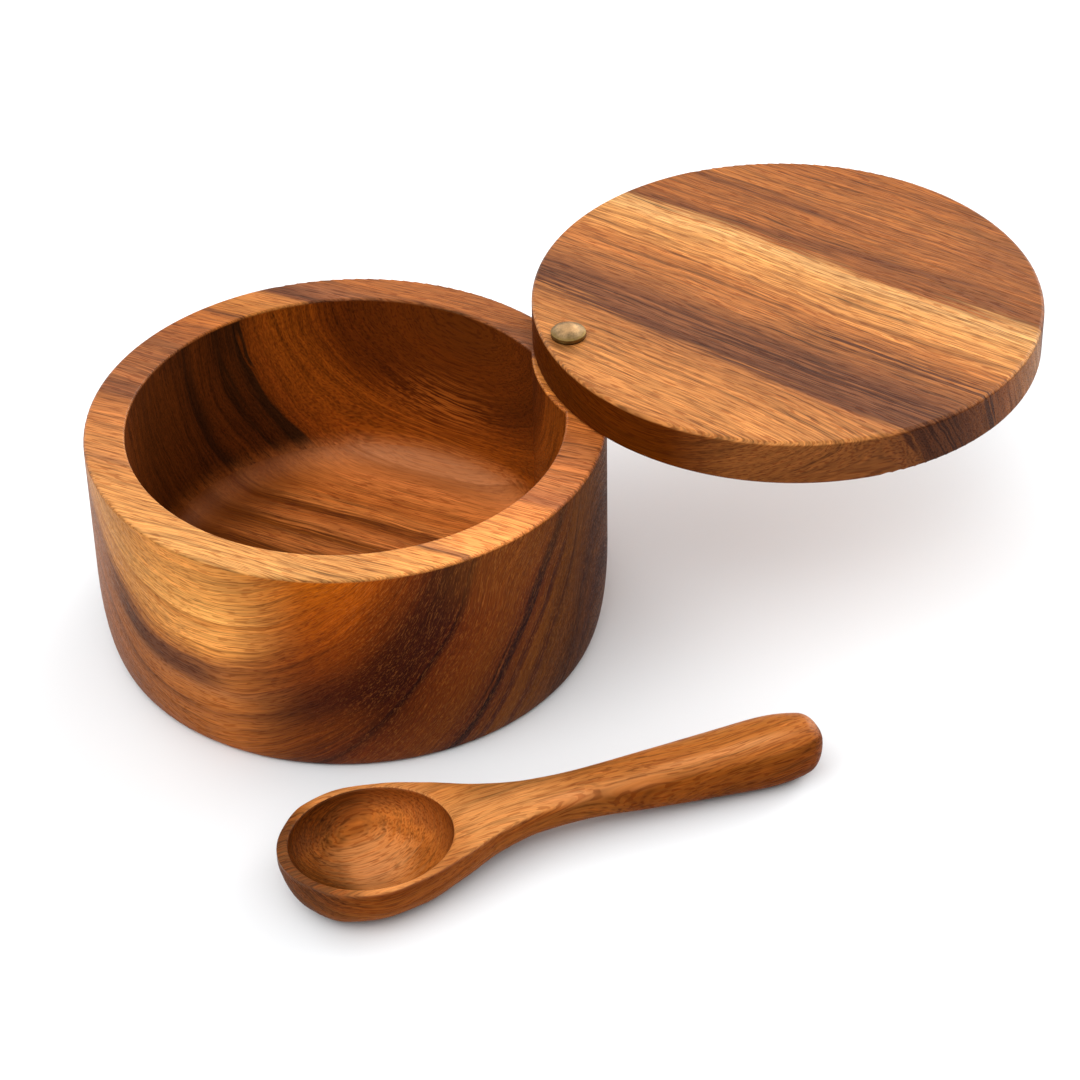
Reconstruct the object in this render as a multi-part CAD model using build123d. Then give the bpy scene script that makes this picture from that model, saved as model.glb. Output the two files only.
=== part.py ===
from build123d import *
import math
import os

# Salt cellar: a round one-block wooden bowl, a flat wooden lid that swivels on
# one upright brass pin at the rim, and the small wooden spoon that goes with it.
# Millimetres, +Z up. Origin: centre of the bowl's flat base, on the table.
# +X points from the bowl's axis to the pivot pin. The lid is built swung wide
# open, half a turn from closed.

# ---------------------------------------------------------------- dimensions
# Bowl
BOWL_R = 55.0            # outside radius at the rim
BOWL_H = 50.5            # base to rim
BASE_R = 51.8            # radius of the flat base
WALL_BEND_Z = 19.0       # below this height the wall curves in to the base
MOUTH_R = 46.4           # inside radius at the rim
CAVITY_R = 45.0          # inside radius low down, above the cove
COVE_R = 8.0             # cove between wall and floor
FLOOR_Z = 9.5            # inside floor
RIM_OUT_ROUND = 0.8      # outer rim edge
RIM_IN_ROUND = 0.45      # inner rim edge
# Pilaster left on the inside wall, which gives the pin its wood
BOSS_FACE_X = 42.85      # its face, on the X axis
BOSS_FACE_R = 39.0       # plan radius of that face
# Lid
LID_R = 55.0
LID_T = 10.4
LID_GAP = 0.15           # between rim and lid
LID_ROUND = 0.9          # both edges of the disc
# Pivot pin
PIN_X = 49.4             # pin axis, from the bowl's axis
PIN_R = 1.5              # smooth journal, in the lid
LID_HOLE_R = 1.55        # 0.05 running clearance
HEAD_R = 3.75
HEAD_SKIRT = 1.0         # straight edge under the dome
HEAD_DOME = 1.25         # dome height above the skirt
HEAD_GAP = 0.10          # under the head
BARB_R = 1.75            # crest of the rings on the shank
BARB_PITCH = 1.5
BARB_COUNT = 11
TIP_LEN = 2.2            # point of the shank
# Spoon
SPOON_L = 115.8
SPOON_TIP = (-38.4, -86.3)   # tip of the spoon's bowl, on the table
SPOON_AZ = 2.9               # direction from tip to handle end, degrees from +X
# stations along the spoon: distance, half width, underside, widest level, top
SPOON = [
    (3.5, 9.0, 2.6, 11.45, 11.60),
    (9.3, 14.2, 0.35, 11.45, 11.60),
    (17.4, 16.1, 0.00, 11.45, 11.60),
    (25.5, 14.8, 0.10, 11.45, 11.60),
    (34.8, 11.5, 1.60, 11.35, 11.65),
    (44.0, 7.5, 3.10, 10.90, 11.95),
    (53.2, 5.4, 3.90, 10.10, 12.40),
    (63.7, 4.8, 3.60, 9.00, 12.85),
    (76.4, 5.3, 2.30, 7.90, 13.20),
    (90.3, 5.9, 0.95, 7.20, 13.55),
    (104.2, 6.5, 0.00, 6.95, 13.75),
    (111.7, 5.4, 0.65, 7.10, 13.10),
]
HOLLOW_U = 18.9          # centre of the hollow, from the tip
HOLLOW_A = 16.6          # half length of the hollow
HOLLOW_B = 14.7          # half width of the hollow
HOLLOW_D = 8.7           # depth of the hollow
HOLLOW_LIFT = 0.5        # the hollow's widest level is this far above the flat top

os.makedirs("parts", exist_ok=True)

# ---------------------------------------------------------------- pin levels
LID_Z0 = BOWL_H + LID_GAP
LID_Z1 = LID_Z0 + LID_T
HEAD_Z0 = LID_Z1 + HEAD_GAP
LID_CX = 2.0 * PIN_X     # lid centre when half a turn open


def pin_profile():
    """Half section of the pin, x = radius, z = height, from the tip up."""
    top = BOWL_H - 0.4                     # the first ring starts just below the rim
    pts = [(0.0, top - BARB_COUNT * BARB_PITCH - TIP_LEN)]
    z = top - BARB_COUNT * BARB_PITCH
    pts.append((PIN_R, z))
    for _ in range(BARB_COUNT):
        pts.append((BARB_R, z + BARB_PITCH * 0.72))
        pts.append((PIN_R, z + BARB_PITCH))
        z += BARB_PITCH
    pts.append((PIN_R, HEAD_Z0))
    pts.append((HEAD_R, HEAD_Z0))
    pts.append((HEAD_R, HEAD_Z0 + HEAD_SKIRT))
    return pts


def make_pin():
    pts = [Vector(x, 0, z) for x, z in pin_profile()]
    skirt_top = pts[-1]
    crown = Vector(0, 0, HEAD_Z0 + HEAD_SKIRT + HEAD_DOME)
    # dome: a shallow spherical cap on the skirt
    r = (HEAD_R**2 + HEAD_DOME**2) / (2 * HEAD_DOME)
    a = math.asin(HEAD_R / r) / 2
    mid = Vector(r * math.sin(a), 0, crown.Z - r * (1 - math.cos(a)))
    edges = [Line(p, q) for p, q in zip(pts, pts[1:])]
    edges.append(ThreePointArc(skirt_top, mid, crown))
    edges.append(Line(crown, pts[0]))
    face = make_face(edges)
    pin = revolve(face, Axis.Z)
    rim_edges = [
        e
        for e in pin.edges().filter_by(GeomType.CIRCLE)
        if abs(e.radius - HEAD_R) < 1e-6
    ]
    pin = fillet(rim_edges, 0.18)
    return pin.moved(Location((PIN_X, 0, 0)))


def make_bowl(pin):
    # outside: flat base, quarter ellipse up to the wall, straight wall to the rim
    corner = EllipticalCenterArc(
        (BASE_R, WALL_BEND_Z), BOWL_R - BASE_R, WALL_BEND_Z, start_angle=270, arc_size=90
    )
    profile = make_face(
        [
            Line((0, 0), (BASE_R, 0)),
            corner,
            Line((BOWL_R, WALL_BEND_Z), (BOWL_R, BOWL_H)),
            Line((BOWL_R, BOWL_H), (0, BOWL_H)),
            Line((0, BOWL_H), (0, 0)),
        ]
    )
    outside = revolve(Plane.XZ * profile, Axis.Z)
    outside = fillet(
        [
            e
            for e in outside.edges().filter_by(GeomType.CIRCLE)
            if abs(e.center().Z - BOWL_H) < 1e-6
        ],
        RIM_OUT_ROUND,
    )
    # inside: rounded mouth, tapered wall, cove, flat floor
    slope = (MOUTH_R - CAVITY_R) / (BOWL_H - FLOOR_Z - COVE_R)
    floor_wall = CAVITY_R - slope * COVE_R
    cav = make_face(
        Polyline(
            (0, FLOOR_Z),
            (floor_wall, FLOOR_Z),
            (MOUTH_R, BOWL_H),
            (MOUTH_R + 4, BOWL_H),
            (MOUTH_R + 4, BOWL_H + 5),
            (0, BOWL_H + 5),
            close=True,
        )
    )

    def corner_at(x, y):
        return [
            v for v in cav.vertices() if abs(v.X - x) < 1e-6 and abs(v.Y - y) < 1e-6
        ]

    cav = fillet(corner_at(floor_wall, FLOOR_Z), COVE_R)
    cav = fillet(corner_at(MOUTH_R, BOWL_H), RIM_IN_ROUND)
    bowl = outside - revolve(Plane.XZ * cav, Axis.Z)
    # the pilaster: everything beyond a gently convex upright face, edge rounded
    column = Pos(BOSS_FACE_X + BOSS_FACE_R, 0, FLOOR_Z - 1) * Cylinder(
        BOSS_FACE_R,
        BOWL_H - FLOOR_Z + 1,
        align=(Align.CENTER, Align.CENTER, Align.MIN),
    )
    column = fillet(
        [
            e
            for e in column.edges().filter_by(GeomType.CIRCLE)
            if abs(e.center().Z - BOWL_H) < 1e-6
        ],
        RIM_IN_ROUND,
    )
    core = Pos(0, 0, FLOOR_Z - 1) * Cylinder(
        MOUTH_R + 3.5,
        BOWL_H - FLOOR_Z + 1,
        align=(Align.CENTER, Align.CENTER, Align.MIN),
    )
    bowl = bowl + (column & core)
    return bowl - pin


def make_lid():
    lid = Pos(LID_CX, 0, LID_Z0) * Cylinder(
        LID_R, LID_T, align=(Align.CENTER, Align.CENTER, Align.MIN)
    )
    lid = fillet(lid.edges().filter_by(GeomType.CIRCLE), LID_ROUND)
    lid -= Pos(PIN_X, 0, LID_Z0 - 1) * Cylinder(
        LID_HOLE_R, LID_T + 2, align=(Align.CENTER, Align.CENTER, Align.MIN)
    )
    return lid


def warp(t):
    """Runs 0..1 with a square-root start and end, so the ends come out round."""
    return math.acos(1 - 2 * min(max(t, 0.0), 1.0)) / math.pi


def pchip(xs, ys, x):
    """Monotone cubic through the stations."""
    n = len(xs)
    h = [xs[i + 1] - xs[i] for i in range(n - 1)]
    d = [(ys[i + 1] - ys[i]) / h[i] for i in range(n - 1)]
    m = [d[0]] + [0.0] * (n - 2) + [d[-1]]
    for i in range(1, n - 1):
        if d[i - 1] * d[i] > 0:
            w1, w2 = 2 * h[i] + h[i - 1], h[i] + 2 * h[i - 1]
            m[i] = (w1 + w2) / (w1 / d[i - 1] + w2 / d[i])
    for i in range(n - 1):
        if x <= xs[i + 1] or i == n - 2:
            t = (x - xs[i]) / h[i]
            return (
                ys[i] * (1 + 2 * t) * (1 - t) ** 2
                + m[i] * h[i] * t * (1 - t) ** 2
                + ys[i + 1] * t * t * (3 - 2 * t)
                + m[i + 1] * h[i] * t * t * (t - 1)
            )


def smoothstep(a, b, x):
    t = min(max((x - a) / (b - a), 0.0), 1.0)
    return t * t * (3 - 2 * t)


SPOON_TOP = 11.6
TIP_Z = 11.2
END_Z = 7.2


def spoon_section(u):
    """Half width, underside, widest level and top at a distance u from the tip."""
    xs = [0.0] + [warp(s[0] / SPOON_L) for s in SPOON] + [1.0]
    x = warp(u / SPOON_L)
    half = pchip(xs, [0.0] + [s[1] for s in SPOON] + [0.0], x)
    low = pchip(xs, [TIP_Z - 0.5] + [s[2] for s in SPOON] + [END_Z], x)
    mid = pchip(xs, [11.45] + [s[3] for s in SPOON] + [END_Z], x)
    top = pchip(xs, [11.60] + [s[4] for s in SPOON] + [END_Z], x)
    return half, low, mid, top


def spoon_wire(u):
    half, low, mid, top = spoon_section(u)
    f = smoothstep(34.0, 66.0, u)
    n_low = 3.4 * (1 - f) + 2.5 * f
    n_top = 2.5
    count = 12
    upper, lower = [], []
    for i in range(count + 1):
        t = math.pi * i / count
        c, s = math.cos(t), max(math.sin(t), 0.0)
        if i in (0, count):
            s = 0.0
        v = half * math.copysign(abs(c) ** (2 / n_top), c)
        upper.append((u, v, mid + (top - mid) * s ** (2 / n_top)))
        v = half * math.copysign(abs(c) ** (2 / n_low), c)
        lower.append((u, v, mid - (mid - low) * s ** (2 / n_low)))
    lower.reverse()
    lower[0], lower[-1] = upper[-1], upper[0]
    return Wire([Edge.make_spline(upper), Edge.make_spline(lower)])


def make_spoon():
    stations = [0.12, 0.6, 1.6, 3.5, 6.2, 9.3, 13.2, 17.4, 21.4, 25.5, 30.0, 34.8, 39.4]
    stations += [44.0, 48.6, 53.2, 58.4, 63.7, 70.0, 76.4, 83.4, 90.3, 97.3, 104.2]
    stations += [108.4, 111.7, 114.0, 115.2, 115.68]
    objs = [Vertex(0, 0, TIP_Z)]
    objs += [spoon_wire(u) for u in stations]
    objs += [Vertex(SPOON_L, 0, END_Z)]
    body = Solid.make_loft(objs)
    # hollow: half an ellipsoid, as deep as the wood allows
    depth = HOLLOW_D + HOLLOW_LIFT
    half = make_face(
        [
            EllipticalCenterArc(
                (0, 0), HOLLOW_A, depth, start_angle=270, arc_size=90
            ),
            Line((HOLLOW_A, 0), (HOLLOW_A, 4)),
            Line((HOLLOW_A, 4), (0, 4)),
            Line((0, 4), (0, -depth)),
        ]
    )
    cutter = revolve(Plane.XZ * half, Axis.Z)
    cutter = scale(cutter, by=(1, HOLLOW_B / HOLLOW_A, 1))
    spoon = body - cutter.moved(Location((HOLLOW_U, 0, SPOON_TOP + HOLLOW_LIFT)))
    return spoon.moved(Location((SPOON_TIP[0], SPOON_TIP[1], 0), (0, 0, SPOON_AZ)))


pin = make_pin()
bowl = make_bowl(pin)
lid = make_lid()
spoon = make_spoon()

for name, shape in (
    ("bowl", bowl),
    ("lid", lid),
    ("pivot_pin", pin),
    ("spoon", spoon),
):
    solids = shape.solids()
    box = shape.bounding_box()
    print(
        name,
        "solids",
        len(solids),
        "valid",
        shape.is_valid,
        "volume",
        round(shape.volume, 1),
        "box",
        [round(v, 2) for v in (box.min.X, box.min.Y, box.min.Z)],
        [round(v, 2) for v in (box.max.X, box.max.Y, box.max.Z)],
    )
    export_step(solids[0] if len(solids) == 1 else shape, f"parts/{name}.step")
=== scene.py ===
import math

import bmesh
import bpy
from mathutils import Matrix, Vector


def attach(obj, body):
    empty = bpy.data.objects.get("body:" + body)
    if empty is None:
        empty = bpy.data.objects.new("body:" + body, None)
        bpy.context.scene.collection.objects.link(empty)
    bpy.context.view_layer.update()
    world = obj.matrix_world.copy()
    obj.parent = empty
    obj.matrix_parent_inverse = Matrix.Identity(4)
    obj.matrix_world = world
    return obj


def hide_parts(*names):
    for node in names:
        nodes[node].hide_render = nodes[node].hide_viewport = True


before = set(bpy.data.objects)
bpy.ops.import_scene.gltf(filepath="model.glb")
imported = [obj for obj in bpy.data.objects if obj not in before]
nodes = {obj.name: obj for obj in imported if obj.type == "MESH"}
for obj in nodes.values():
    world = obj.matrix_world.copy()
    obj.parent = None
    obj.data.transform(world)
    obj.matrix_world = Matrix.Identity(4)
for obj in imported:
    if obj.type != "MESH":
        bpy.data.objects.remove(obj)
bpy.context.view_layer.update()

# ------------------------------------------------------------------ camera
cam_data = bpy.data.cameras.new("camera")
cam_data.sensor_width = 36.0
cam_data.lens = 113.775
cam_data.clip_start = 0.05
cam_data.clip_end = 20.0
cam = bpy.data.objects.new("camera", cam_data)
bpy.context.scene.collection.objects.link(cam)
right = Vector((0.953727, -0.300254, -0.015908))
up = Vector((0.194182, 0.574678, 0.795009))
ahead = Vector((0.229563, 0.761310, -0.606389))
place = Vector((-0.1306465, -0.5732148, 0.4649667))
m = Matrix.Identity(4)
for i in range(3):
    m[i][0], m[i][1], m[i][2], m[i][3] = right[i], up[i], -ahead[i], place[i]
cam.matrix_world = m
bpy.context.scene.camera = cam


# ------------------------------------------------------------------ a small notation for shader maths
class Tree:
    """Builds a material's nodes. Sockets are wrapped in S, which knows + - * /."""

    def __init__(self, name):
        self.mat = bpy.data.materials.new(name)
        self.mat.use_nodes = True
        self.t = self.mat.node_tree
        self.t.nodes.clear()
        self.out = self.t.nodes.new("ShaderNodeOutputMaterial")
        self.bsdf = self.t.nodes.new("ShaderNodeBsdfPrincipled")
        self.t.links.new(self.bsdf.outputs[0], self.out.inputs["Surface"])

    def put(self, socket, value):
        if isinstance(value, S):
            self.t.links.new(value.s, socket)
        else:
            socket.default_value = value

    def math(self, op, a, b=None, c=None, clamp=False):
        n = self.t.nodes.new("ShaderNodeMath")
        n.operation = op
        n.use_clamp = clamp
        for i, v in enumerate((a, b, c)):
            if v is not None:
                self.put(n.inputs[i], v)
        return S(self, n.outputs[0])

    def xyz(self, x, y, z):
        n = self.t.nodes.new("ShaderNodeCombineXYZ")
        for i, v in enumerate((x, y, z)):
            self.put(n.inputs[i], v)
        return S(self, n.outputs[0])

    def position(self):
        """Object coordinates, in millimetres."""
        c = self.t.nodes.new("ShaderNodeTexCoord")
        n = self.t.nodes.new("ShaderNodeSeparateXYZ")
        self.t.links.new(c.outputs["Object"], n.inputs[0])
        return [S(self, n.outputs[i]) * 1000.0 for i in range(3)]

    def noise(self, vec, detail=2.0, rough=0.5, scale=1.0, distortion=0.0):
        """0..1, mean 0.5."""
        n = self.t.nodes.new("ShaderNodeTexNoise")
        n.noise_dimensions = "3D"
        self.put(n.inputs["Vector"], vec)
        n.inputs["Scale"].default_value = scale
        n.inputs["Detail"].default_value = detail
        n.inputs["Roughness"].default_value = rough
        n.inputs["Distortion"].default_value = distortion
        return S(self, n.outputs[0])

    def voronoi(self, vec, randomness=1.0):
        """(distance to the nearest cell point, a random number for that cell)"""
        n = self.t.nodes.new("ShaderNodeTexVoronoi")
        n.voronoi_dimensions = "3D"
        self.put(n.inputs["Vector"], vec)
        n.inputs["Scale"].default_value = 1.0
        n.inputs["Randomness"].default_value = randomness
        sep = self.t.nodes.new("ShaderNodeSeparateColor")
        self.t.links.new(n.outputs["Color"], sep.inputs[0])
        return S(self, n.outputs["Distance"]), S(self, sep.outputs[0])

    def step(self, x, lo, hi, a=0.0, b=1.0):
        """Smoothstep from a at lo to b at hi."""
        n = self.t.nodes.new("ShaderNodeMapRange")
        n.interpolation_type = "SMOOTHSTEP"
        self.put(n.inputs["Value"], x)
        for k, v in (("From Min", lo), ("From Max", hi), ("To Min", a), ("To Max", b)):
            self.put(n.inputs[k], v)
        return S(self, n.outputs[0])

    def bump_at(self, x, centre, width):
        """A soft hill of height 1 at centre."""
        d = (x - centre) / width
        return self.math("POWER", 2.718281828, -1.0 * (d * d))

    def curve(self, x, lo, hi, points, out_lo, out_hi):
        """A smooth curve through points, x from lo to hi, y from out_lo to out_hi."""
        n = self.t.nodes.new("ShaderNodeFloatCurve")
        c = n.mapping.curves[0]
        pts = [((px - lo) / (hi - lo), (py - out_lo) / (out_hi - out_lo)) for px, py in points]
        c.points[0].location = pts[0]
        c.points[1].location = pts[-1]
        for p in pts[1:-1]:
            c.points.new(*p)
        n.mapping.update()
        self.put(n.inputs["Value"], (x - lo) / (hi - lo))
        return S(self, n.outputs[0]) * (out_hi - out_lo) + out_lo

    def ramp(self, x, lo, hi, stops, mode="LINEAR"):
        """Colours along x. stops is [(x, colour)]."""
        n = self.t.nodes.new("ShaderNodeValToRGB")
        e = n.color_ramp.elements
        n.color_ramp.interpolation = mode
        while len(e) > 1:
            e.remove(e[-1])
        first = True
        for px, col in stops:
            p = min(max((px - lo) / (hi - lo), 0.0), 1.0)
            if first:
                e[0].position, first = p, False
                k = e[0]
            else:
                k = e.new(p)
            k.color = (*col, 1.0)
        self.put(n.inputs[0], (x - lo) / (hi - lo))
        return S(self, n.outputs[0])

    def mix(self, f, a, b, mode="MIX"):
        n = self.t.nodes.new("ShaderNodeMix")
        n.data_type = "RGBA"
        n.blend_type = mode
        n.clamp_factor = True
        self.put(n.inputs[0], f)
        self.put(n.inputs[6], a if isinstance(a, S) else (*a, 1.0))
        self.put(n.inputs[7], b if isinstance(b, S) else (*b, 1.0))
        return S(self, n.outputs[2])

    def fmix(self, f, a, b):
        """A number between a and b."""
        return a + (b - a) * f

    def scale_colour(self, col, k):
        """col times the number k."""
        n = self.t.nodes.new("ShaderNodeVectorMath")
        n.operation = "SCALE"
        self.put(n.inputs[0], col)
        self.put(n.inputs["Scale"], k)
        return S(self, n.outputs[0])

    def normal(self, height, distance, strength=1.0):
        n = self.t.nodes.new("ShaderNodeBump")
        n.inputs["Strength"].default_value = strength
        n.inputs["Distance"].default_value = distance
        self.put(n.inputs["Height"], height)
        return S(self, n.outputs[0])


class S:
    def __init__(self, tree, socket):
        self.tree, self.s = tree, socket

    def __add__(self, o):
        return self.tree.math("ADD", self, o)

    def __radd__(self, o):
        return self.tree.math("ADD", o, self)

    def __sub__(self, o):
        return self.tree.math("SUBTRACT", self, o)

    def __rsub__(self, o):
        return self.tree.math("SUBTRACT", o, self)

    def __mul__(self, o):
        return self.tree.math("MULTIPLY", self, o)

    def __rmul__(self, o):
        return self.tree.math("MULTIPLY", o, self)

    def __truediv__(self, o):
        return self.tree.math("DIVIDE", self, o)

    def __rtruediv__(self, o):
        return self.tree.math("DIVIDE", o, self)


def rgb(r, g, b):
    """An sRGB colour, 0..255, as scene-linear."""
    return tuple(
        c / 12.92 if c <= 0.04045 else ((c + 0.055) / 1.055) ** 2.4
        for c in (r / 255, g / 255, b / 255)
    )


def lit(r, g, b, light, haze=0.0):
    """The surface colour that shows as this sRGB colour under so much light, less the surface's own gloss."""
    return tuple(max((c - haze) / light, 0.0015) for c in rgb(r, g, b))


# ------------------------------------------------------------------ wood
def grain_frame(t, azimuth, x, y, cx=0.0, cy=0.0):
    """Distances along and across the grain, from an azimuth in degrees."""
    a = math.radians(azimuth)
    x, y = x - cx, y - cy
    g = x * math.cos(a) + y * math.sin(a)
    s = x * math.sin(a) - y * math.cos(a)
    return g, s


def fibres(t, along, across, depth, seed, curl=1.0):
    """Fine structure of the wood, in millimetres. Centred numbers of about +-0.1 for a broad streak, a streak and
    a thread, and 0..1 for a dark pore line. The streaks are long in depth too, so end grain shows the layers."""
    drift = t.noise(t.xyz(along * 0.03 + seed, across * 0.06, depth * 0.06), detail=0.0) - 0.5
    wave = t.noise(t.xyz(along * 0.10, across * 0.30 + seed, depth * 0.30), detail=0.0) - 0.5
    a = across + drift * 3.5 + wave * (0.8 * curl)
    d = depth + drift * 2.0 - wave * (0.6 * curl)
    broad = t.noise(t.xyz(along / 52.0 + seed, a / 1.25, d / 20.0), detail=1.0) - 0.5
    streak = t.noise(t.xyz(along / 21.0, a / 0.50 + seed, d / 8.0), detail=1.0) - 0.5
    thread = t.noise(t.xyz(along / 8.0, a / 0.24 + seed, d / 0.55), detail=0.0) - 0.5
    line = t.noise(t.xyz(along / 3.7 + seed, a / 0.31, d / 0.45 + seed), detail=0.0)
    return broad, streak, thread, line


def wood_surface(t, colour, broad, streak, thread, pore, shade=1.0, rough=0.44, relief=1.0, gloss=None):
    """Colour, gloss and relief from the fine structure."""
    light = 1.0 + (broad * 1.0 + streak * 1.5 + thread * 1.2) * shade
    colour = t.scale_colour(colour, t.math("MAXIMUM", light, 0.25))
    colour = t.mix(pore, colour, t.mix(1.0, colour, (0.50, 0.33, 0.22), mode="MULTIPLY"))
    t.put(t.bsdf.inputs["Base Color"], colour)
    t.put(t.bsdf.inputs["Roughness"], (rough + pore * 0.22) + (thread * 0.35 - streak * 0.25))
    t.bsdf.inputs["IOR"].default_value = 1.47
    t.put(t.bsdf.inputs["Specular IOR Level"], 0.16 if gloss is None else gloss)
    t.bsdf.inputs["Specular Tint"].default_value = (1.0, 0.84, 0.66, 1.0)
    height = thread * 0.8 + streak * 0.5 - pore * 0.5
    t.put(t.bsdf.inputs["Normal"], t.normal(height, 0.0001 * relief, 0.5))
    return t.mat


# ------------------------------------------------------------------ lid
def top(r, g, b):
    return lit(r, g, b, 1.60, 0.023)


def lid_wood():
    t = Tree("lid_wood")
    x, y, z = t.position()
    g, s = grain_frame(t, -53.0, x, y, 98.8, 0.0)
    d = s * -1.0  # across the grain, towards the back right
    # the layers lean through the thickness, and lean back the other way in the pale part
    lean = t.step(d, -48.0, -29.0, -1.1, 0.34)
    layer = d + lean * (z - 61.05)
    # the fibres of the pale front part turn down towards the right
    turn = t.step(d, -24.0, -40.0) * t.step(g, -8.0, 46.0)
    across = layer + turn * (g + 8.0) * 0.10
    broad, streak, thread, line = fibres(t, g, across, z, 11.0)
    slow = t.noise(t.xyz(g * 0.02 + 3.1, layer * 0.045, z * 0.02), detail=1.0) - 0.5

    back = t.step(d, 4.0, 12.0)
    w = layer - back * g * 0.022  # the gold band's back edge runs further back on the right
    w = w - t.step(d, 24.0, 28.0) * g * 0.065
    w = w + t.step(d, -16.0, -24.0) * t.step(g, -12.0, -44.0) * -3.0
    feather = broad * 9.0 + streak * 5.0 + thread * 1.5
    crisp = t.step(d, -31.0, -26.5, 0.12, 1.0)  # the front edge of the dark band is crisp
    crisp = t.math("MAXIMUM", crisp, t.step(g, -16.0, -34.0, 0.0, 1.3))  # but not at the left
    w = w + (feather + slow * 7.0) * crisp
    base = t.ramp(
        w,
        -58.0,
        58.0,
        [
            (-58, top(208, 134, 77)),
            (-46, top(219, 145, 84)),
            (-36, top(212, 138, 80)),
            (-29.5, top(200, 128, 76)),
            (-28.6, top(132, 84, 60)),
            (-25.5, top(150, 95, 66)),
            (-22, top(158, 100, 67)),
            (-18, top(160, 100, 66)),
            (-13.5, top(184, 116, 70)),
            (-9.5, top(203, 128, 74)),
            (-6, top(202, 126, 72)),
            (-2, top(204, 128, 72)),
            (1.5, top(224, 150, 86)),
            (6, top(232, 158, 91)),
            (10, top(236, 165, 96)),
            (14, top(246, 183, 116)),
            (16.0, top(240, 172, 104)),
            (17.3, top(160, 97, 58)),
            (21, top(168, 102, 60)),
            (27, top(180, 110, 62)),
            (33.4, top(178, 108, 62)),
            (40, top(192, 119, 66)),
            (47, top(180, 108, 60)),
            (58, top(178, 107, 58)),
        ],
    )
    # dark figure: strands in the dark band, a patch on the right of the middle, and one at the back right
    strand = t.step(broad * 0.95 + streak * 0.55 + thread * 0.15, -0.012, 0.04)
    heavy = t.bump_at(layer, -22.0, 8.0) * 1.0 + t.bump_at(layer, -8.5, 3.2) * t.step(g, 2.0, 14.0) * 0.9
    heavy = heavy + t.bump_at(layer, 22.0, 2.6) * t.step(g, -6.0, 8.0) * 0.5
    heavy = heavy + t.bump_at(layer, 38.0, 9.0) * t.step(g, 18.0, 30.0) * 0.45
    base = t.mix(strand * heavy, base, top(98, 63, 50))
    # two dark veins behind the gold band
    small = slow * 2.0 + broad * 3.0
    vein = t.bump_at(layer + small, 31.2, 1.0) * t.step(g, 6.0, -14.0)
    vein = vein + t.bump_at(layer + small - g * 0.125 - g * g * 0.0006, 21.2, 1.3) * t.step(g, 44.0, 28.0) * 0.8
    vein = vein + t.bump_at(layer + small, 43.5, 3.5) * t.bump_at(g, 30.0, 9.0) * 0.5
    base = t.mix(vein * (0.55 + strand * 0.3), base, top(112, 68, 50))
    # end-grain edge: the same layers, darker and more orange
    rr = t.math("SQRT", (x - 98.8) * (x - 98.8) + y * y)
    edge = t.step(rr, 54.3, 54.75) * t.step(z, 60.7, 60.2)
    edge = edge * t.step(g, 4.0, 22.0, 1.0, 0.70)
    base = t.mix(edge, base, t.mix(1.0, base, (0.24, 0.125, 0.016), mode="MULTIPLY"))
    pore = t.step(line, 0.55, 0.64) * (0.5 + strand * 0.15)
    return wood_surface(t, base, broad, streak, thread, pore, shade=t.fmix(edge, 1.0, 0.6), gloss=t.fmix(edge, 0.16, 0.045))


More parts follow.
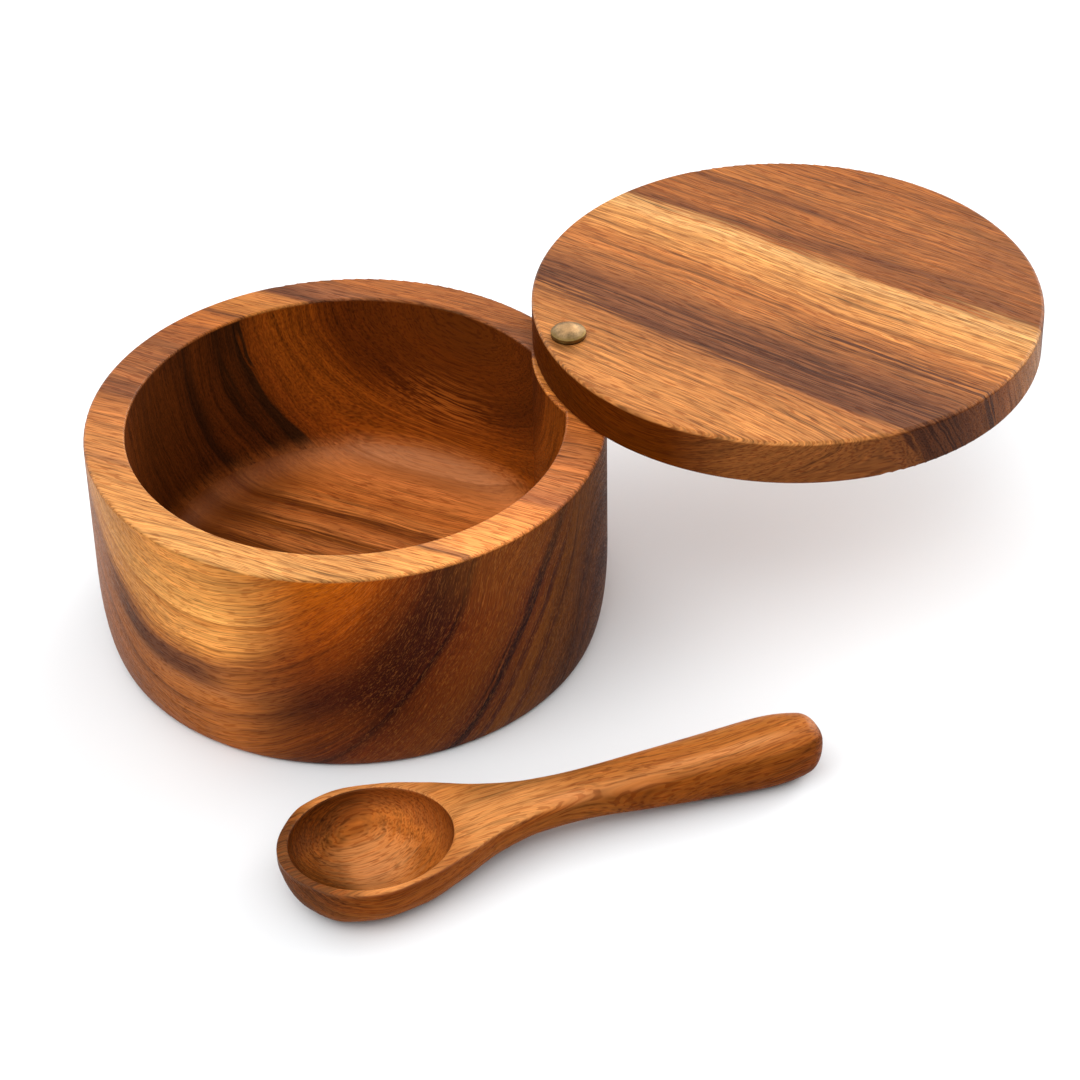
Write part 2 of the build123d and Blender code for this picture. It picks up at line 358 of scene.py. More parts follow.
# ------------------------------------------------------------------ bowl
def bowl_wood():
    t = Tree("bowl_wood")
    x, y, z = t.position()
    g, s = grain_frame(t, -42.0, x, y)  # s points to azimuth -132, the side-grain front
    r = t.math("SQRT", x * x + y * y)
    th = t.math("ARCTAN2", g, s) * (180.0 / math.pi)  # 0 at the side-grain front, + to the right

    # outside wall: the layers sag to a trough left of the front and climb steeply to the right
    rise = t.curve(
        th,
        -180.0,
        180.0,
        [
            (-180, 62), (-150, 74), (-120, 76), (-90, 58), (-60, 30), (-45, 16), (-33, 7), (-20, 1),
            (-10, 0), (3, 1), (14.6, 5.5), (25, 12), (35.4, 21.5), (46, 35), (56, 49),
            (66.7, 66), (77, 82), (84, 94), (90.5, 112), (100, 121), (108, 119), (125, 98), (150, 72), (180, 62),
        ],
        0.0,
        130.0,
    )
    slow = t.noise(t.xyz(g * 0.035 + 5.0, s * 0.05, z * 0.06), detail=1.0) - 0.5
    steep = t.step(z, 28.0, 52.0) * t.bump_at(th, 57.0, 11.0) * 9.0
    lay = z - rise - steep + slow * 3.5
    side = t.step(t.math("ABSOLUTE", th + 4.0), 14.0, 42.0, 1.0, 0.0)  # 1 where the wall shows side grain

    # inside wall: the layers wrap a heart at the top of the back wall
    run = (t.math("ARCTAN2", y, x) * (-180.0 / math.pi) + 165.0) * 0.8 - 100.0  # mm along the wall from that heart
    deep = 50.5 - z
    k = t.step(t.math("SQRT", run * run + deep * deep), 36.0, 50.0, 1.2, 1.0)
    ring = t.math("SQRT", run * run + deep * deep * (k * k) + 324.0)
    df = s * -1.0  # across the floor and the rim, towards the back left
    dr = s * -1.0

    # which face this is, and the fibres as that face cuts them
    rim_face = t.math("GREATER_THAN", z, 49.95)
    inner_face = t.math("LESS_THAN", r, 50.2)
    floor_face = t.math("LESS_THAN", z, 13.0)
    pick = t.fmix(inner_face, lay, t.fmix(floor_face, ring, df))
    across = t.fmix(rim_face, pick, dr)
    depth = t.fmix(rim_face, t.fmix(inner_face, s, t.fmix(floor_face, z * 0.6 + s * 0.4, z)), z)
    broad, streak, thread, line = fibres(t, g, across, depth, 23.0, 1.0)
    w = lay + broad * 5.0 + streak * 2.4 + thread * 0.6
    left = t.ramp(
        w,
        -60.0,
        52.0,
        [
            (-60, lit(96, 52, 26, 0.95, 0.01)),
            (-30, lit(112, 60, 28, 0.95, 0.01)),
            (-8, lit(136, 76, 34, 1.0, 0.01)),
            (3, lit(146, 83, 38, 1.0, 0.01)),
            (8.8, lit(156, 92, 46, 1.05, 0.01)),
            (10.4, lit(130, 76, 42, 1.05, 0.01)),
            (12.2, lit(160, 94, 46, 1.05, 0.01)),
            (15.6, lit(168, 102, 54, 1.1, 0.01)),
            (17.4, lit(146, 91, 55, 1.1, 0.01)),
            (19.6, lit(100, 61, 42, 1.12, 0.01)),
            (22.4, lit(106, 65, 44, 1.15, 0.01)),
            (24.8, lit(158, 97, 52, 1.2, 0.01)),
            (27.4, lit(206, 134, 67, 1.24, 0.01)),
            (30, lit(220, 148, 77, 1.25, 0.01)),
            (33.3, lit(222, 151, 79, 1.25, 0.01)),
            (34.4, lit(196, 124, 60, 1.25, 0.01)),
            (35.6, lit(230, 161, 86, 1.26, 0.01)),
            (42, lit(222, 151, 78, 1.28, 0.01)),
            (52, lit(208, 136, 68, 1.28, 0.01)),
        ],
    )
    # the dark contour fades out at both ends; the gold is brightest left of the middle
    ends = t.math("MAXIMUM", t.step(th, -10.0, 4.0), t.step(th, -28.0, -44.0)) * t.bump_at(w, 20.6, 3.0)
    left = t.mix(ends * 0.85, left, lit(172, 103, 50, 1.15, 0.01))
    left = t.scale_colour(left, 0.94 + t.bump_at(th, -9.0, 10.0) * 0.24 - t.step(th, -17.0, -30.0) * 0.16)
    right = t.ramp(
        w,
        -122.0,
        52.0,
        [
            (-122, lit(60, 35, 14, 0.8, 0.012)),
            (-108, lit(76, 45, 18, 0.8, 0.012)),
            (-100, lit(60, 34, 15, 0.8, 0.012)),
            (-92, lit(84, 49, 24, 0.8, 0.012)),
            (-84, lit(62, 37, 23, 0.8, 0.012)),
            (-78, lit(82, 48, 27, 0.8, 0.012)),
            (-70, lit(90, 52, 27, 0.8, 0.012)),
            (-62, lit(96, 56, 24, 0.8, 0.012)),
            (-59, lit(66, 38, 22, 0.8, 0.012)),
            (-55.5, lit(100, 58, 22, 0.8, 0.012)),
            (-50, lit(104, 59, 19, 0.8, 0.012)),
            (-47.6, lit(60, 34, 20, 0.8, 0.012)),
            (-45, lit(98, 54, 18, 0.8, 0.012)),
            (-41.2, lit(88, 46, 20, 0.8, 0.012)),
            (-39.9, lit(40, 25, 13, 0.8, 0.01)),
            (-37.2, lit(50, 30, 15, 0.8, 0.01)),
            (-35, lit(88, 45, 18, 0.8, 0.01)),
            (-28, lit(102, 54, 13, 0.8, 0.01)),
            (-20, lit(104, 53, 10, 0.8, 0.01)),
            (-13, lit(96, 47, 8, 0.82, 0.008)),
            (-8.4, lit(88, 42, 8, 0.82, 0.008)),
            (-6.6, lit(36, 18, 6, 0.82, 0.006)),
            (-5, lit(64, 29, 9, 0.84, 0.006)),
            (0, lit(54, 26, 6, 0.86, 0.006)),
            (6, lit(58, 28, 7, 0.88, 0.006)),
            (11, lit(68, 32, 8, 0.9, 0.006)),
            (16, lit(90, 42, 8, 0.92, 0.006)),
            (21, lit(112, 52, 8, 0.94, 0.006)),
            (27, lit(132, 62, 8, 0.95, 0.006)),
            (34, lit(152, 74, 8, 0.97, 0.008)),
            (42, lit(168, 86, 14, 1.0, 0.008)),
            (52, lit(172, 90, 18, 1.05, 0.008)),
        ],
    )
    # low down, the darkest part of the figure fades into red-brown
    fade = t.step(z, 21.0, 9.0) * t.bump_at(w, 3.0, 8.0)
    right = t.mix(fade * 0.75, right, lit(108, 54, 14, 0.82, 0.008))
    # high up beyond the dark part the wood is olive-brown
    olive = t.step(z, 32.0, 48.0) * t.step(th, 42.0, 54.0)
    right = t.mix(olive * 0.35, right, lit(108, 64, 30, 0.8, 0.01))
    outer = t.mix(t.step(th, -3.0, 20.0), left, right)
    # a paler fold just right of the trough and another in the dark part; darker where the wall turns away
    fold = t.bump_at(th, 0.0, 6.5) * t.step(z, 46.0, 38.0) * 0.28 + t.bump_at(th, 26.0, 6.0) * 0.22
    fold = fold - t.step(th, 69.0, 80.0) * t.step(th, 130.0, 100.0) * 0.26
    outer = t.scale_colour(outer, 1.0 + fold)

    # just above the heart the lines break up into curly grain
    eye = t.bump_at(run, 0.0, 23.0) * t.bump_at(deep, 8.0, 25.0) * inner_face * (1.0 - rim_face)
    wi = ring + slow * 2.5 + (broad * 5.0 + streak * 2.0) * (1.0 - eye)
    inner = t.ramp(
        wi,
        0.0,
        112.0,
        [
            (18, lit(88, 40, 7, 0.6)),
            (24, lit(92, 40, 6, 0.6)),
            (30, lit(84, 36, 5, 0.55)),
            (34, lit(76, 31, 4, 0.52)),
            (38.9, lit(92, 40, 5, 0.50)),
            (42.5, lit(112, 53, 8, 0.49)),
            (48.5, lit(118, 57, 10, 0.49)),
            (53.6, lit(104, 48, 9, 0.49)),
            (55.2, lit(88, 40, 7, 0.49)),
            (56.0, lit(36, 18, 6, 0.49)),
            (57.3, lit(40, 19, 6, 0.49)),
            (60.2, lit(60, 26, 5, 0.49)),
            (61.3, lit(36, 17, 5, 0.49)),
            (62.4, lit(56, 24, 5, 0.49)),
            (68.0, lit(70, 31, 6, 0.49)),
            (69.7, lit(46, 20, 5, 0.49)),
            (70.7, lit(34, 15, 5, 0.49)),
            (72.1, lit(54, 23, 5, 0.49)),
            (78.1, lit(66, 29, 5, 0.49)),
            (88, lit(58, 25, 4, 0.49)),
            (100, lit(72, 32, 5, 0.49)),
            (114, lit(60, 26, 4, 0.49)),
        ],
    )
    # the heart shows side grain: level bright threads lower down
    heart = t.bump_at(run, -6.0, 12.0) * t.bump_at(deep, 26.0, 7.0)
    threads = t.step(streak * 0.8 + thread * 0.5, -0.05, 0.07)
    inner = t.mix(heart * threads * 0.6, inner, lit(164, 88, 28, 0.6))
    inner = t.scale_colour(inner, t.step(run, 8.0, 24.0, 1.0, 0.8))

    # floor: straight stripes along the grain
    df = df + broad * 7.0 + streak * 3.0
    floor = t.ramp(
        df,
        -46.0,
        46.0,
        [
            (-46, lit(136, 76, 38, 0.88, 0.01)),
            (-30, lit(158, 91, 47, 0.88, 0.012)),
            (-12, lit(124, 68, 35, 0.88, 0.012)),
            (-4, lit(160, 92, 48, 0.88, 0.012)),
            (1.5, lit(98, 54, 28, 0.88, 0.012)),
            (5, lit(170, 99, 53, 0.88, 0.012)),
            (9, lit(118, 64, 32, 0.88, 0.012)),
            (12, lit(184, 108, 58, 0.88, 0.012)),
            (15.5, lit(160, 88, 44, 0.88, 0.01)),
            (17.6, lit(102, 54, 27, 0.88, 0.012)),
            (20, lit(190, 112, 58, 0.88, 0.012)),
            (24, lit(168, 92, 44, 0.88, 0.01)),
            (30, lit(190, 110, 56, 0.88, 0.01)),
            (35, lit(184, 108, 58, 0.86, 0.01)),
            (37.5, lit(158, 93, 52, 0.86, 0.01)),
            # painted highlight: the pale, greyer stop at 40.5 lights the back of the cove
            (40.5, lit(172, 108, 67, 0.86, 0.01)),
            (46, lit(150, 84, 40, 0.84, 0.01)),
        ],
    )
    floor = t.mix(t.step(g, -18.0, -36.0) * 0.7, floor, lit(96, 50, 22, 0.93, 0.012))

    # rim: stripes along the grain
    sharp = t.step(t.math("ABSOLUTE", dr - 37.0), 0.5, 4.0, 0.15, 1.0)
    dr = dr + (broad * 3.2 + streak * 2.0) * sharp
    rim = t.ramp(
        dr,
        -56.0,
        56.0,
        [
            (-56, top(246, 178, 106)),
            (-46, top(236, 163, 95)),
            (-39, top(230, 156, 91)),
            (-33.6, top(222, 146, 84)),
            (-32.4, top(204, 134, 84)),
            (-31.2, top(214, 140, 84)),
            (-27, top(222, 145, 84)),
            (-22, top(217, 139, 81)),
            (-16.5, top(208, 130, 76)),
            (-12.5, top(196, 122, 72)),
            (-10.2, top(150, 93, 64)),
            (-7.6, top(160, 99, 66)),
            (-4, top(180, 112, 70)),
            (-1, top(164, 102, 66)),
            (2, top(176, 108, 66)),
            (5, top(160, 98, 64)),
            (7, top(172, 106, 66)),
            (9.2, top(154, 96, 63)),
            (13, top(174, 104, 62)),
            (18, top(178, 105, 60)),
            (24, top(192, 115, 62)),
            (25.2, top(160, 95, 55)),
            (26.4, top(202, 125, 66)),
            (32, top(208, 132, 71)),
            (36.5, top(200, 126, 71)),
            (37.1, top(134, 82, 58)),
            (42, top(154, 97, 67)),
            (47, top(173, 104, 61)),
            (56, top(175, 107, 64)),
        ],
    )
    # painted light: the rim is lightened towards the right, where the lid shades it, and a little darkened at the
    # left
    rim = t.scale_colour(rim, t.step(g, 25.0, 50.0, 1.08, 1.90) + t.step(g, -18.0, -46.0, 0.0, -0.08))
    # one dark stripe shows only on the right of the front
    stripe = t.bump_at(dr, -32.6, 0.9) * t.step(g, 14.0, 24.0)
    rim = t.mix(stripe * 0.75, rim, top(134, 88, 66))
    on_rim = t.step(z, 49.7, 50.15)
    inside = t.step(r, 49.0, 51.5, 1.0, 0.0)
    low = t.step(z, 10.5, 16.5, 1.0, 0.0)
    indoor = t.mix(low, t.scale_colour(inner, 0.8), floor)
    base = t.mix(on_rim, t.mix(inside, outer, indoor), rim)

    # the outer edge of the rim is a thin darker line
    brink = t.bump_at(z, 50.05, 0.22) * t.step(r, 54.2, 54.7)
    base = t.mix(brink * 0.6, base, t.mix(1.0, base, (0.55, 0.42, 0.24), mode="MULTIPLY"))

    # short pale flecks where the outside wall cuts across the fibres
    arc = th * 0.96
    cut = (1.0 - side) * (1.0 - inner_face) * (1.0 - rim_face)
    nick = t.noise(t.xyz(arc / 0.62, (lay + slow * 4.0) / 0.42, r * 0.05), detail=0.0, distortion=1.2)
    base = t.mix(t.step(nick, 0.56, 0.72) * cut * 0.2, base, lit(190, 116, 54, 0.93))
    face_on = t.math("MAXIMUM", t.math("ABSOLUTE", s) / 68.0, rim_face)
    face_on = t.math("MAXIMUM", face_on, inner_face * floor_face)
    cove = inner_face * floor_face * t.step(r, 32.0, 39.0)
    pore = t.step(line, 0.56, 0.64) * t.fmix(face_on, 0.22, 0.62) * (1.0 - cove * 0.6)
    pore = t.math("MAXIMUM", pore, t.step(nick, 0.42, 0.30) * cut * 0.35)
    gloss = t.fmix(rim_face, t.fmix(inner_face, t.step(th, 56.0, 84.0, 0.07, 0.03) + t.step(th, -22.0, -52.0, 0.0, 0.06), floor_face * 0.07 + 0.13), 0.16)
    shade = t.fmix(t.math("MAXIMUM", rim_face, inner_face), 0.58, 0.84) * (1.0 - eye * 0.8) * (1.0 - cove * 0.6)
    return wood_surface(t, base, broad, streak, thread, pore, shade=shade, gloss=gloss)


# ------------------------------------------------------------------ spoon
# The spoon's carved shape, in millimetres, from the tip of its bowl to the end of its handle: a flat top with crisp
# edges on the bowl and the neck, softening along the handle, and a cleanly cut hollow with a slightly eased edge.
SPOON_L = 115.8
SPOON_TIP = (-38.4, -86.3)
SPOON_AZ = 2.9
# distance, half width, underside, widest level, top
STATIONS = [
    (3.5, 9.0, 2.6, 11.25, 11.60),
    (9.3, 14.2, 0.35, 11.20, 11.60),
    (17.4, 16.1, 0.05, 11.20, 11.60),
    (25.5, 14.8, 0.10, 11.20, 11.60),
    (34.8, 11.5, 1.60, 11.10, 11.62),
    (44.0, 7.5, 3.10, 10.90, 11.80),
    (53.2, 5.4, 3.90, 10.10, 12.25),
    (63.7, 4.8, 3.60, 9.00, 12.70),
    (76.4, 5.3, 2.30, 7.90, 13.05),
    (90.3, 5.9, 0.95, 7.20, 13.40),
    (104.2, 6.5, 0.05, 6.95, 13.65),
    (111.7, 5.4, 0.65, 7.10, 13.05),
]
CUT_U, CUT_A, CUT_B, CUT_D = 18.9, 16.6, 14.7, 8.7  # the hollow: centre, half length, half width, depth


def warp(t):
    return math.acos(1 - 2 * min(max(t, 0.0), 1.0)) / math.pi


def pchip(xs, ys, x):
    """Monotone cubic through the stations."""
    n = len(xs)
    h = [xs[i + 1] - xs[i] for i in range(n - 1)]
    d = [(ys[i + 1] - ys[i]) / h[i] for i in range(n - 1)]
    m = [d[0]] + [0.0] * (n - 2) + [d[-1]]
    for i in range(1, n - 1):
        if d[i - 1] * d[i] > 0:
            w1, w2 = 2 * h[i] + h[i - 1], h[i] + 2 * h[i - 1]
            m[i] = (w1 + w2) / (w1 / d[i - 1] + w2 / d[i])
    for i in range(n - 1):
        if x <= xs[i + 1] or i == n - 2:
            t = (x - xs[i]) / h[i]
            return (
                ys[i] * (1 + 2 * t) * (1 - t) ** 2
                + m[i] * h[i] * t * (1 - t) ** 2
                + ys[i + 1] * t * t * (3 - 2 * t)
                + m[i + 1] * h[i] * t * t * (t - 1)
            )


def ease(a, b, x):
    t = min(max((x - a) / (b - a), 0.0), 1.0)
    return t * t * (3 - 2 * t)


WARPED = [0.0] + [warp(q[0] / SPOON_L) for q in STATIONS] + [1.0]


def spoon_section(u):
    """Half width, underside, widest level and top at a distance u from the tip."""
    x = warp(u / SPOON_L)
    ends = [(0.0, 0.0), (10.7, 7.2), (11.2, 7.2), (11.5, 7.2)]
    return [pchip(WARPED, [e[0]] + [q[k + 1] for q in STATIONS] + [e[1]], x) for k, e in enumerate(ends)]


def spoon_mesh():
    us = [0.03, 0.12, 0.3, 0.55, 0.85, 1.2, 1.5, 1.75, 1.93, 2.06, 2.16, 2.24]
    us += [CUT_U - CUT_A * math.cos(math.pi * i / 80) for i in range(81)]
    us += [35.56, 35.64, 35.76, 35.9, 36.1, 36.4, 36.8]
    us += [37.5 + 0.9 * i for i in range(81)]
    us += [109.5 + (SPOON_L - 109.5) * math.sin(math.pi / 2 * i / 18) for i in range(1, 18)]
    n_cut, n_top, n_low = 44, 34, 52
    verts, rows = [], []

    def point(u, v, z):
        c, k = math.cos(math.radians(SPOON_AZ)), math.sin(math.radians(SPOON_AZ))
        verts.append(
            ((SPOON_TIP[0] + u * c - v * k) / 1000, (SPOON_TIP[1] + u * k + v * c) / 1000, z / 1000)
        )
        return len(verts) - 1

    for u in us:
        half, low, mid, top = spoon_section(u)
        cut = CUT_B * math.sqrt(max(1 - ((u - CUT_U) / CUT_A) ** 2, 0.0))
        if cut < 0.02:
            cut = 0.0
        full = ease(34.0, 60.0, u)
        n_up = 1 / ((1 - full) / 9.0 + full / 2.9)
        n_up = 1 / ((1 - ease(100.0, 114.0, u)) / n_up + ease(100.0, 114.0, u) / 2.5)
        n_dn = 3.4 + (2.5 - 3.4) * ease(34.0, 66.0, u)

        def above(v):
            e = math.sqrt(((u - CUT_U) / CUT_A) ** 2 + (v / CUT_B) ** 2)
            if e < 1 and cut > 0:
                return top - 0.22 - CUT_D * math.sqrt(max(1 - e * e, 0.0))
            eased = 0.22 * max(0.0, 1 - (e - 1) * 15.6 / 0.55) ** 2 if u < 40 else 0.0
            return mid + (top - mid) * max(1 - (abs(v) / half) ** n_up, 0.0) ** (1 / n_up) - eased

        side = []
        for i in range(n_top + 1):  # from the widest point in to the hollow's edge, or to the middle
            f = math.sin(math.pi / 2 * i / n_top)
            v = half - (half - cut) * (1 - math.cos(math.pi * i / n_top)) / 2
            side.append((v, f))
        ring = []
        for v, f in side[:-1]:
            ring.append(point(u, v, mid if v == half else above(v)))
        if cut > 0:
            edge = top - 0.22
            for j in range(n_cut + 1):
                v = cut * math.cos(math.pi * j / n_cut)
                ring.append(point(u, v, edge if j in (0, n_cut) else above(v)))
        else:
            k = point(u, 0.0, above(0.0))
            ring += [k] * (n_cut + 1)
        for v, f in reversed(side[:-1]):
            ring.append(point(u, -v, mid if v == half else above(v)))
        for j in range(1, n_low):
            t = math.pi * j / n_low
            c, k = math.cos(t), math.sin(t)
            v = -half * math.copysign(abs(c) ** (2 / n_dn), c)
            ring.append(point(u, v, mid - (mid - low) * k ** (2 / n_dn)))
        rows.append(ring)

    faces = []

    def face(*ids):
        kept = [k for i, k in enumerate(ids) if k != ids[i - 1]]
        if len(set(kept)) == len(kept) and len(kept) > 2:
            faces.append(kept)

    for a, b in zip(rows, rows[1:]):
        for j in range(len(a)):
            k = (j + 1) % len(a)
            face(a[j], a[k], b[k], b[j])
    tip, end = point(0, 0, 11.2), point(SPOON_L, 0, 7.2)
    for j in range(len(rows[0])):
        k = (j + 1) % len(rows[0])
        face(tip, rows[0][k], rows[0][j])
        face(end, rows[-1][j], rows[-1][k])
    mesh = bpy.data.meshes.new("carved_spoon")
    mesh.from_pydata(verts, [], faces)
    bm = bmesh.new()
    bm.from_mesh(mesh)
    bmesh.ops.recalc_face_normals(bm, faces=bm.faces)
    bm.to_mesh(mesh)
    bm.free()
    mesh.polygons.foreach_set("use_smooth", [True] * len(mesh.polygons))
    o = bpy.data.objects.new("carved_spoon", mesh)
    bpy.context.scene.collection.objects.link(o)
    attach(o, "spoon")
    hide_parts("spoon")
    return o


def spoon_wood():
    t = Tree("spoon_wood")
    x, y, z = t.position()
    g, s = grain_frame(t, SPOON_AZ, x, y, *SPOON_TIP)  # g from the tip to the handle's end, s to the near side
    slow = t.noise(t.xyz(g * 0.05 + 9.0, s * 0.09, z * 0.12), detail=1.0) - 0.5
    # the layers stand on edge across the handle, so its lines run straight off the rounded end
    layer = (z - 10.0) * t.step(g, 36.0, 96.0, 1.4, -0.7) + 12.0 + s * t.step(g, 36.0, 96.0, 0.8, 0.62)
    layer = layer + g * 0.07 + slow * t.step(g, 40.0, 90.0, 2.0, 0.9)
    depth = s * 0.8 + (z - 10.0) * t.step(g, 40.0, 84.0, -0.3, 0.7)
    broad, streak, thread, line = fibres(t, g, layer, depth, 37.0, 0.8)
    eu, ev = (g - CUT_U) / CUT_A, s / CUT_B
    e = t.math("SQRT", eu * eu + ev * ev)
    bottom = 11.4 - CUT_D * t.math("SQRT", t.math("MAXIMUM", 1.0 - e * e, 0.0))
    hollow = t.step(z - bottom, -0.9, -0.5) * t.math("LESS_THAN", e, 1.002)
    w = layer + broad * 6.0 + streak * 2.5
    body = t.ramp(
        w,
        -10.0,
        34.0,
        [
            (-10, lit(112, 62, 28, 1.15, 0.01)),
            (-4, lit(140, 80, 38, 1.15, 0.01)),
            (0, lit(170, 100, 46, 1.15, 0.01)),
            (3, lit(150, 84, 36, 1.15, 0.01)),
            (6, lit(178, 106, 48, 1.15, 0.01)),
            (9, lit(158, 90, 40, 1.15, 0.01)),
            (11.5, lit(192, 118, 56, 1.2, 0.01)),
            (14, lit(204, 130, 66, 1.2, 0.01)),
            (16.5, lit(180, 108, 52, 1.2, 0.01)),
            (18.5, lit(200, 124, 62, 1.2, 0.01)),
            (20.5, lit(166, 94, 44, 1.2, 0.01)),
            (23, lit(186, 110, 52, 1.2, 0.01)),
            (27, lit(150, 82, 38, 1.2, 0.01)),
            (34, lit(130, 72, 34, 1.2, 0.01)),
        ],
    )
    # paler on the neck's flat top, redder along the handle and darkest at its end, where painted shade darkens its
    # sides
    neck = t.step(g, 30.0, 40.0) * t.step(g, 66.0, 50.0) * t.step(z, 10.9, 11.6)
    neck = neck * t.step(s, -5.5, -0.5, 0.25, 1.0)  # the far edge stays darker
    body = t.mix(neck * 0.8, body, lit(230, 156, 90, 1.2, 0.01))
    rim = t.step(z, 11.1, 11.4) * t.step(g, 6.0, 14.0) * t.step(g, 42.0, 30.0)
    pale = t.step(s, -8.0, 4.0, 0.75, 0.3) + t.bump_at(g, 19.0, 8.0) * t.step(s, 6.0, 12.0) * 0.5
    body = t.mix(rim * pale, body, lit(226, 150, 86, 1.2, 0.01))
    body = t.mix(t.step(g, 58.0, 76.0) * 0.45, body, lit(156, 90, 40, 1.15, 0.01))
    # painted shade: the outer sides are darker than the top
    painted_side_shade = t.step(z, t.step(g, 40.0, 60.0, 11.3, 12.0), t.step(g, 40.0, 60.0, 10.6, 9.6))
    body = t.mix(painted_side_shade * 0.78, body, t.mix(1.0, body, (0.50, 0.39, 0.20), mode="MULTIPLY"))
    shy = t.step(s, 0.5, -3.5) * t.step(g, 36.0, 44.0) * t.step(g, 78.0, 64.0)  # the neck's far half
    body = t.scale_colour(body, 1.0 - shy * 0.26)
    # painted shade: the sides of the handle's end are darker still
    body = t.mix(t.step(g, 100.0, 115.0) * painted_side_shade * 0.5, body, lit(104, 54, 20, 1.15, 0.01))
    # painted light: the top of the handle is lighter
    body = t.scale_colour(body, 1.0 + t.step(g, 60.0, 74.0) * (1.0 - painted_side_shade) * 0.12)
    # the tip's end grain is darker and greyer
    body = t.mix(t.step(g + slow * 6.0, 15.0, 1.0) * 0.85, body, lit(84, 54, 38, 1.1, 0.01))
    # a painted highlight along the handle's near shoulder, with red-brown strands beside it
    along = t.step(g, 48.0, 60.0) * t.step(g, 112.0, 100.0) * t.step(z, 9.5, 11.5)
    ridge_highlight = t.bump_at(s + slow * 2.5, 3.3, 1.2) * along
    body = t.mix(ridge_highlight * t.step(broad, -0.10, 0.02, 0.35, 0.75), body, lit(226, 150, 92, 1.15, 0.01))
    strand = t.bump_at(s + slow * 3.0, 1.4, 0.9) * along * t.step(g, 92.0, 80.0)
    body = t.mix(strand * t.step(streak, -0.08, 0.06) * 0.55, body, lit(130, 66, 36, 1.15, 0.01))
    cup = t.ramp(
        e + slow * 0.5 + broad * 0.3 + streak * 0.15,
        0.0,
        1.25,
        [
            (0, lit(218, 142, 86, 1.15, 0.01)),
            (0.32, lit(214, 138, 80, 1.15, 0.01)),
            (0.5, lit(194, 118, 62, 1.15, 0.01)),
            (0.62, lit(160, 92, 44, 1.15, 0.01)),
            (0.74, lit(170, 98, 46, 1.15, 0.01)),
            (0.86, lit(134, 76, 40, 1.15, 0.01)),
            (1.0, lit(112, 62, 34, 1.15, 0.01)),
            (1.25, lit(96, 52, 28, 1.15, 0.01)),
        ],
    )
    # painted light and shade in the hollow: palest towards the neck and darkest towards the tip
    aft, fore = t.math("MAXIMUM", eu, 0.0), t.step(eu, -0.10, -0.48)
    light = 0.90 + aft * t.step(e, 0.3, 0.9) * 0.4 + aft * t.math("MAXIMUM", ev * -1.0, 0.0) * 1.7
    light = light * (1.0 - fore * t.step(ev, -0.6, 0.0, 0.35, 1.0) * 0.58)
    light = light * (1.0 - t.bump_at(ev, 0.3, 0.17) * t.step(eu, 0.3, 0.0) * 0.34)
    cup = t.scale_colour(cup, light)
    base = t.mix(hollow, body, cup)
    fine = t.step(broad * 0.3 + streak * 0.7 + thread * 0.4, 0.01, 0.09)
    base = t.mix(fine * 0.28, base, lit(120, 60, 26, 1.15, 0.01))
    pore = t.step(line, 0.56, 0.65) * 0.55
    gloss = t.step(z, 10.4, 11.4, 0.03, 0.14)
    return wood_surface(t, base, broad, streak, thread, pore, shade=0.8, rough=0.42, gloss=gloss)


# ------------------------------------------------------------------ brass
def brass():
    t = Tree("aged_brass")
    x, y, z = t.position()
    blotch = t.noise(t.xyz(x * 0.55, y * 0.55, z * 0.55), detail=2.0)
    grit = t.noise(t.xyz(x * 3.0, y * 3.0 + 4.0, z * 3.0), detail=2.0)
    dents = t.noise(t.xyz(x * 0.62 + 3.0, y * 0.62, z * 0.62), detail=0.0)
    # rubbed bright on top, which also paints the dome's highlight; tarnished on the skirt
    wear_and_highlight = t.step(z + blotch * 0.8 + grit * 0.5, 62.75, 64.1)
    colour = t.ramp(
        wear_and_highlight, 0.0, 1.0, [(0, rgb(132, 106, 58)), (0.12, rgb(118, 94, 56)), (0.5, rgb(140, 114, 80)), (1, rgb(190, 150, 104))]
    )
    # painted shadow: the foot of the skirt, where it sits on the lid, is darkened
    colour = t.scale_colour(colour, (0.50 + blotch * 0.5 + grit * 0.3) * t.step(z, 61.25, 61.75, 0.35, 1.0))
    t.put(t.bsdf.inputs["Base Color"], colour)
    t.bsdf.inputs["Metallic"].default_value = 1.0
    t.put(t.bsdf.inputs["Roughness"], 0.40 + blotch * 0.14 + grit * 0.12)
    t.put(t.bsdf.inputs["Normal"], t.normal(dents + grit * 0.08, 0.0006, 0.45))
    return t.mat


def dress(node, mat):
    o = nodes[node]
    o.data.materials.clear()
    o.data.materials.append(mat)


dress("bowl", bowl_wood())
dress("lid", lid_wood())
carved = spoon_mesh()
carved.data.materials.append(spoon_wood())
dress("pivot_pin", brass())


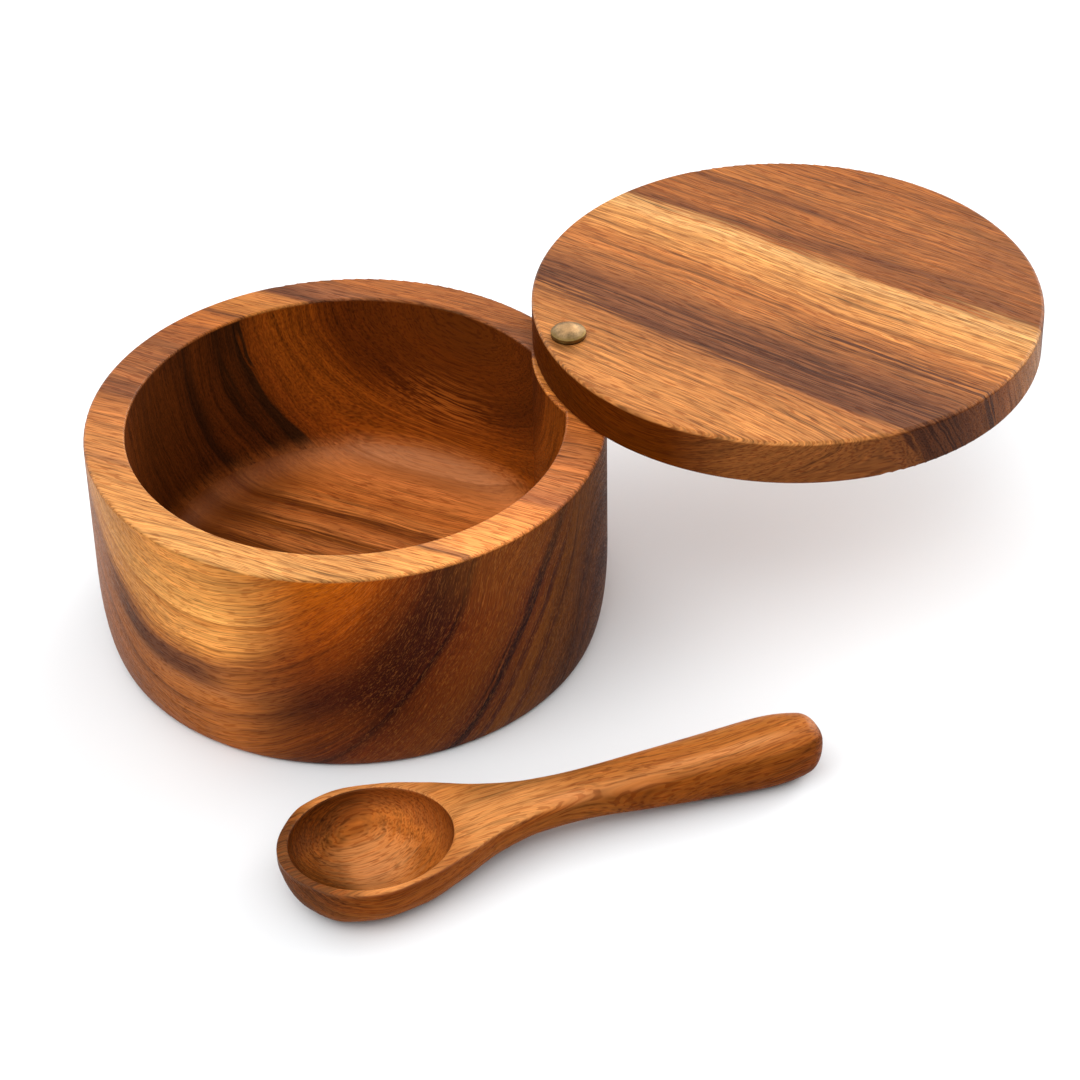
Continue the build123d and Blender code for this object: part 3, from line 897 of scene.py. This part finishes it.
# ------------------------------------------------------------------ floor and light
def floor_sheet():
    size, mesh = 3.0, bpy.data.meshes.new("floor")
    mesh.from_pydata(
        [(-size, -size, -0.0002), (size, -size, -0.0002), (size, size, -0.0002), (-size, size, -0.0002)],
        [],
        [(0, 1, 2, 3)],
    )
    o = bpy.data.objects.new("floor", mesh)
    bpy.context.scene.collection.objects.link(o)
    mat = bpy.data.materials.new("floor_white")
    mat.use_nodes = True
    b = mat.node_tree.nodes["Principled BSDF"]
    b.inputs["Base Color"].default_value = (0.787, 0.80, 0.812, 1)
    b.inputs["Roughness"].default_value = 0.9
    b.inputs["Specular IOR Level"].default_value = 0.0
    mesh.materials.append(mat)
    return o


floor_sheet()


def studio_sky(plain, lobes):
    """A plain white surround with broad soft lights in it: (azimuth, elevation, tightness, strength)."""
    world = bpy.data.worlds.new("studio")
    world.use_nodes = True
    t = world.node_tree
    bg = t.nodes["Background"]
    bg.inputs["Color"].default_value = (1, 1, 1, 1)
    c = t.nodes.new("ShaderNodeTexCoord")
    unit = t.nodes.new("ShaderNodeVectorMath")
    unit.operation = "NORMALIZE"
    t.links.new(c.outputs["Generated"], unit.inputs[0])
    total = None
    for az, el, tight, power in lobes:
        az, el = math.radians(az), math.radians(el)
        dot = t.nodes.new("ShaderNodeVectorMath")
        dot.operation = "DOT_PRODUCT"
        dot.inputs[1].default_value = (math.cos(az) * math.cos(el), math.sin(az) * math.cos(el), math.sin(el))
        t.links.new(unit.outputs[0], dot.inputs[0])
        facing = t.nodes.new("ShaderNodeMath")
        facing.operation = "MAXIMUM"
        facing.inputs[1].default_value = 0.0
        t.links.new(dot.outputs["Value"], facing.inputs[0])
        lobe = t.nodes.new("ShaderNodeMath")
        lobe.operation = "POWER"
        lobe.inputs[1].default_value = tight
        t.links.new(facing.outputs[0], lobe.inputs[0])
        add = t.nodes.new("ShaderNodeMath")
        add.operation = "MULTIPLY_ADD"
        add.inputs[1].default_value = power
        add.inputs[2].default_value = plain
        t.links.new(lobe.outputs[0], add.inputs[0])
        if total is not None:
            t.links.new(total, add.inputs[2])
        total = add.outputs[0]
    t.links.new(total, bg.inputs["Strength"])
    bpy.context.scene.world = world


studio_sky(
    0.09,
    [
        (0, 90, 10, 1.0),
        (-107, 50, 12, 1.2),
        (-107, 53, 60, 5.0),
        (-47, 50, 12, 1.05),
        (13, 22, 12, 2.4),
        (33, 22, 12, 6.3),
        (113, 22, 12, 2.9),
        (103, 50, 12, 0.9),
        (-167, 50, 12, 3.3),
        (-167, 22, 12, 0.4),
    ],
)

view = bpy.context.scene.view_settings
view.view_transform = "Standard"
view.look = "None"
view.exposure = 0.0
view.gamma = 1.0
